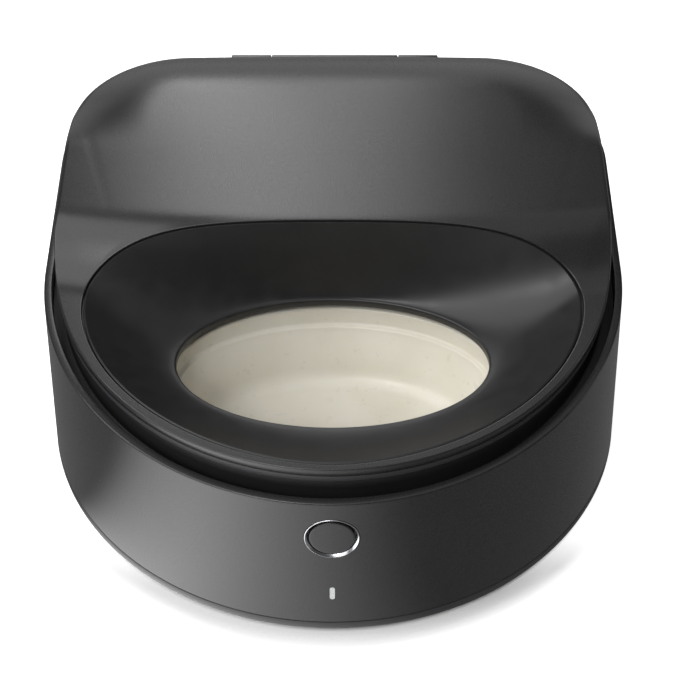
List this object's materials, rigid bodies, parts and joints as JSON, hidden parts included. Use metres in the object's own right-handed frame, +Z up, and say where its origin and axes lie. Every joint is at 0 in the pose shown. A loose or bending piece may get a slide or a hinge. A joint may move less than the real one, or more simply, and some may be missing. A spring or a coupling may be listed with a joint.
{
  "type": "wet food pet feeder",
  "caption": "Chilled feeder for wet pet food: round-fronted base with a turning tray of oval bowls, and a hinged lid with a tall hood, an oval feeding opening and a rotary shutter.",
  "frame": {"origin": "on the table under the middle of the outline, which is also the centre of the front arc", "axes": "front faces -Y, back with the hinge faces +Y, +Z up, +X to the right of someone in front"},
  "size_m": [0.3248, 0.3248, 0.1543],
  "materials": {
    "shell_paint": "satin dark grey paint",
    "dark_plastic": "fine matte moulding",
    "funnel_plastic": "satin gloss moulding",
    "well_plastic": "matte moulding",
    "tray_plastic": "glossy food-safe moulding",
    "rubber": "matte",
    "screw_steel": "turned",
    "motor_steel": "zinc plated",
    "magnet": "nickel plated",
    "trim_chrome": "bright plated",
    "aluminium": "extruded, fine satin",
    "ceramic_foam": "foamed bead",
    "module_ceramic": "matte",
    "gear_nylon": "natural nylon",
    "board": "solder mask",
    "black_plastic": "moulded",
    "lens": "milky light guide"
  },
  "bodies": {
    "base": {"base_shell": "shell_paint", "bottom_cover": "dark_plastic", "foot_front_left": "rubber", "foot_front_right": "rubber", "foot_rear_left": "rubber", "foot_rear_right": "rubber", "cover_screw_1": "screw_steel", "cover_screw_2": "screw_steel", "cover_screw_3": "screw_steel", "cover_screw_4": "screw_steel", "well_liner": "well_plastic", "insulation_jacket": "ceramic_foam", "spindle": "screw_steel", "plate_motor": "motor_steel", "cold_plate": "aluminium", "thermoelectric_module": "module_ceramic", "heat_sink": "aluminium", "fan_frame": "black_plastic", "main_board": "board", "button_ring": "trim_chrome", "tact_switch": "black_plastic", "switch_board": "board", "indicator_lens": "lens", "light_board": "board", "power_inlet": "black_plastic", "hinge_pin": "screw_steel", "base_magnet": "magnet"},
    "lid": {"lid_shell": "shell_paint", "lid_liner": "dark_plastic", "feeding_funnel": "funnel_plastic", "lid_seal": "rubber", "door_pivot_pin": "screw_steel", "door_motor": "motor_steel", "presence_sensor": "black_plastic", "lid_magnet": "magnet"},
    "table": {"turntable": "dark_plastic", "food_tray": "tray_plastic"},
    "plate_gear": {"plate_pinion": "gear_nylon"},
    "fan": {"fan_rotor": "black_plastic"},
    "button": {"button_cap": "shell_paint"},
    "door": {"shutter_door": "dark_plastic"},
    "door_gear": {"door_pinion": "gear_nylon"}
  },
  "joints": [
    {"name": "lid_hinge", "type": "hinge", "parent": "base", "child": "lid", "pos_m": [0, 0.1545, 0.136], "axis": [-1, 0, 0], "range_deg": [0, 78]},
    {"name": "plate_spin", "type": "hinge", "parent": "base", "child": "table", "pos_m": [0, 0.014, 0.04], "axis": [0, 0, 1], "continuous": true},
    {"name": "plate_gear_spin", "type": "hinge", "parent": "base", "child": "plate_gear", "pos_m": [-0.06848, -0.00825, 0.04], "axis": [0, 0, 1], "continuous": true},
    {"name": "door_spin", "type": "hinge", "parent": "lid", "child": "door", "pos_m": [0, 0.004, 0.094], "axis": [0, 0, 1], "range_deg": [0, 180]},
    {"name": "door_gear_spin", "type": "hinge", "parent": "lid", "child": "door_gear", "pos_m": [0, 0.022, 0.097], "axis": [0, 0, 1], "range_deg": [-252, 0]},
    {"name": "button_press", "type": "slide", "parent": "base", "child": "button", "axis": [0, 1, 0], "range_m": [0, 0.0012], "stiffness_N_per_m": 600},
    {"name": "fan_spin", "type": "hinge", "parent": "base", "child": "fan", "pos_m": [0, 0.1, 0.01], "axis": [0, 0, 1], "continuous": true}
  ],
  "couplings": [
    {"joint": "plate_gear_spin", "follows": "plate_spin", "ratio": -5},
    {"joint": "door_gear_spin", "follows": "door_spin", "ratio": -1.4}
  ]
}
